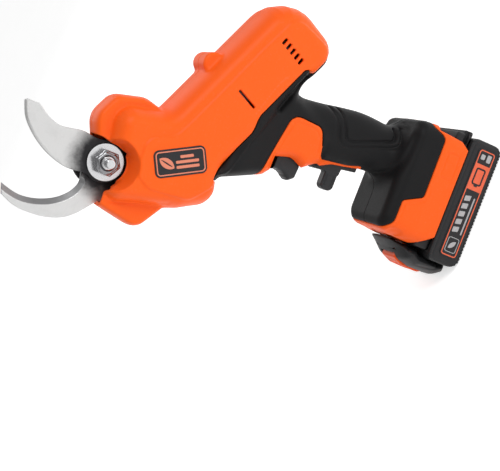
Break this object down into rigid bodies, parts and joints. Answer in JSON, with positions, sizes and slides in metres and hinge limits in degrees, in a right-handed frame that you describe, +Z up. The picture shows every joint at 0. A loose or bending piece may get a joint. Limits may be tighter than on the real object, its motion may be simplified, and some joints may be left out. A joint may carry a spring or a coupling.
{
  "type": "battery electric pruner",
  "caption": "Pistol-grip battery pruner with a moving knife and fixed hook blade, trigger, lock lever, angled motor barrel and slide-on battery base.",
  "frame": {"origin": "centre of the battery's flat base, which the tool stands on", "axes": "+X to the trigger and hook side, +Y to the user's left, +Z up along the grip"},
  "size_m": [0.2079, 0.0768, 0.3405],
  "materials": {
    "orange_plastic": "fine satin moulded orange plastic",
    "soft_black": "soft-touch black moulding",
    "trigger_black": "satin black plastic",
    "blade_steel": "satin ground steel",
    "bright_steel": "polished zinc-plated steel",
    "screw_steel": "dark plated screw",
    "gear_steel": "hardened gear steel",
    "cast_alloy": "die-cast alloy",
    "bearing_bronze": "sintered bronze",
    "motor_steel": "plated steel can",
    "magnet": "dark ferrite",
    "copper": "copper",
    "board_green": "circuit board",
    "lead_red": "wire insulation",
    "badge_grey": "printed plate, no lettering",
    "case_black": "textured black battery case",
    "cell_wrap": "shrink-wrapped cell",
    "label_print": "printed label, no lettering",
    "release_orange": "deep orange plastic",
    "fan_plastic": "moulded nylon"
  },
  "bodies": {
    "housing": {"left_housing": "orange_plastic", "right_housing": "orange_plastic", "left_grip_overmould": "soft_black", "right_grip_overmould": "soft_black", "housing_screws": "screw_steel", "side_badges": "badge_grey", "pivot_cap": "trigger_black", "hook_blade": "blade_steel", "hook_screws": "screw_steel", "gear_case_right": "cast_alloy", "gear_case_left": "cast_alloy", "gear_case_screws": "screw_steel", "jack_bearings": "gear_steel", "pivot_bolt": "bright_steel", "pivot_washer": "bright_steel", "pivot_nut": "bright_steel", "motor_can": "motor_steel", "motor_end_cap": "fan_plastic", "motor_magnets": "magnet", "motor_bearings": "bearing_bronze", "ring_gear": "gear_steel", "gearbox_nose": "cast_alloy", "output_bearings": "gear_steel", "control_board": "board_green", "heat_sink": "cast_alloy", "terminal_block": "trigger_black", "terminal_blades": "copper", "power_leads": "lead_red", "switch_body": "trigger_black", "lock_lever_pin": "bright_steel", "trigger_spring": "bright_steel", "lock_lever_spring": "bright_steel"},
    "knife": {"knife_blade": "blade_steel", "sector_gear": "gear_steel", "sector_rivets": "bright_steel", "pivot_bush": "bearing_bronze"},
    "cross_shaft": {"jack_shaft": "gear_steel", "spur_pinion": "gear_steel", "bevel_gear": "gear_steel"},
    "gearbox_output": {"output_shaft": "gear_steel", "bevel_pinion": "gear_steel", "planet_carrier": "gear_steel"},
    "planet_1": {"planet_gear_1": "gear_steel"},
    "planet_2": {"planet_gear_2": "gear_steel"},
    "planet_3": {"planet_gear_3": "gear_steel"},
    "rotor": {"motor_shaft": "gear_steel", "armature": "gear_steel", "commutator": "copper", "cooling_fan": "fan_plastic", "sun_pinion": "gear_steel"},
    "trigger": {"trigger": "trigger_black"},
    "lock_lever": {"lock_lever": "trigger_black"},
    "battery": {"battery_lower_case": "case_black", "battery_upper_case": "case_black", "battery_cells": "cell_wrap", "battery_board": "board_green", "battery_contacts": "copper", "battery_labels": "label_print", "latch_spring": "bright_steel"},
    "battery_latch": {"battery_latch": "release_orange"}
  },
  "joints": [
    {"name": "knife_pivot", "type": "hinge", "parent": "housing", "child": "knife", "pos_m": [0.0735, 0, 0.273], "axis": [0, 1, 0], "range_deg": [0, 52]},
    {"name": "cross_shaft_spin", "type": "hinge", "parent": "housing", "child": "cross_shaft", "pos_m": [0.05614, 0, 0.22821], "axis": [0, 1, 0], "range_deg": [-260, 0]},
    {"name": "gearbox_output_spin", "type": "hinge", "parent": "housing", "child": "gearbox_output", "pos_m": [0.01473, 0, 0.2096], "axis": [0.9121, 0, 0.4099], "range_deg": [0, 520]},
    {"name": "rotor_spin", "type": "hinge", "parent": "housing", "child": "rotor", "pos_m": [-0.04, 0, 0.185], "axis": [0.9121, 0, 0.4099], "range_deg": [0, 2600]},
    {"name": "planet_1_spin", "type": "hinge", "parent": "gearbox_output", "child": "planet_1", "pos_m": [-0.01208, 0, 0.2107], "axis": [0.9121, 0, 0.4099], "range_deg": [-1386.67, 0]},
    {"name": "planet_2_spin", "type": "hinge", "parent": "gearbox_output", "child": "planet_2", "pos_m": [-0.0047, 0.01039, 0.19429], "axis": [0.9121, 0, 0.4099], "range_deg": [-1386.67, 0]},
    {"name": "planet_3_spin", "type": "hinge", "parent": "gearbox_output", "child": "planet_3", "pos_m": [-0.0047, -0.01039, 0.19429], "axis": [0.9121, 0, 0.4099], "range_deg": [-1386.67, 0]},
    {"name": "trigger_pull", "type": "slide", "parent": "housing", "child": "trigger", "axis": [-1, 0, 0], "range_m": [0, 0.006], "stiffness_N_per_m": 500, "springref_m": -0.003, "deforming": ["trigger_spring"]},
    {"name": "lock_lever_press", "type": "hinge", "parent": "housing", "child": "lock_lever", "pos_m": [0.016, 0, 0.123], "axis": [0, 1, 0], "range_deg": [0, 6], "stiffness_Nm_per_rad": 0.4, "springref_deg": -5.73, "deforming": ["lock_lever_spring"]},
    {"name": "battery_slide", "type": "slide", "parent": "housing", "child": "battery", "axis": [1, 0, 0], "range_m": [0, 0.09]},
    {"name": "latch_press", "type": "slide", "parent": "battery", "child": "battery_latch", "axis": [0, 0, -1], "range_m": [0, 0.003], "stiffness_N_per_m": 900, "springref_m": -0.002, "deforming": ["latch_spring"]}
  ],
  "couplings": [
    {"joint": "cross_shaft_spin", "follows": "knife_pivot", "ratio": -5},
    {"joint": "gearbox_output_spin", "follows": "knife_pivot", "ratio": 10},
    {"joint": "rotor_spin", "follows": "knife_pivot", "ratio": 50},
    {"joint": "planet_1_spin", "follows": "knife_pivot", "ratio": -26.667},
    {"joint": "planet_2_spin", "follows": "knife_pivot", "ratio": -26.667},
    {"joint": "planet_3_spin", "follows": "knife_pivot", "ratio": -26.667}
  ]
}
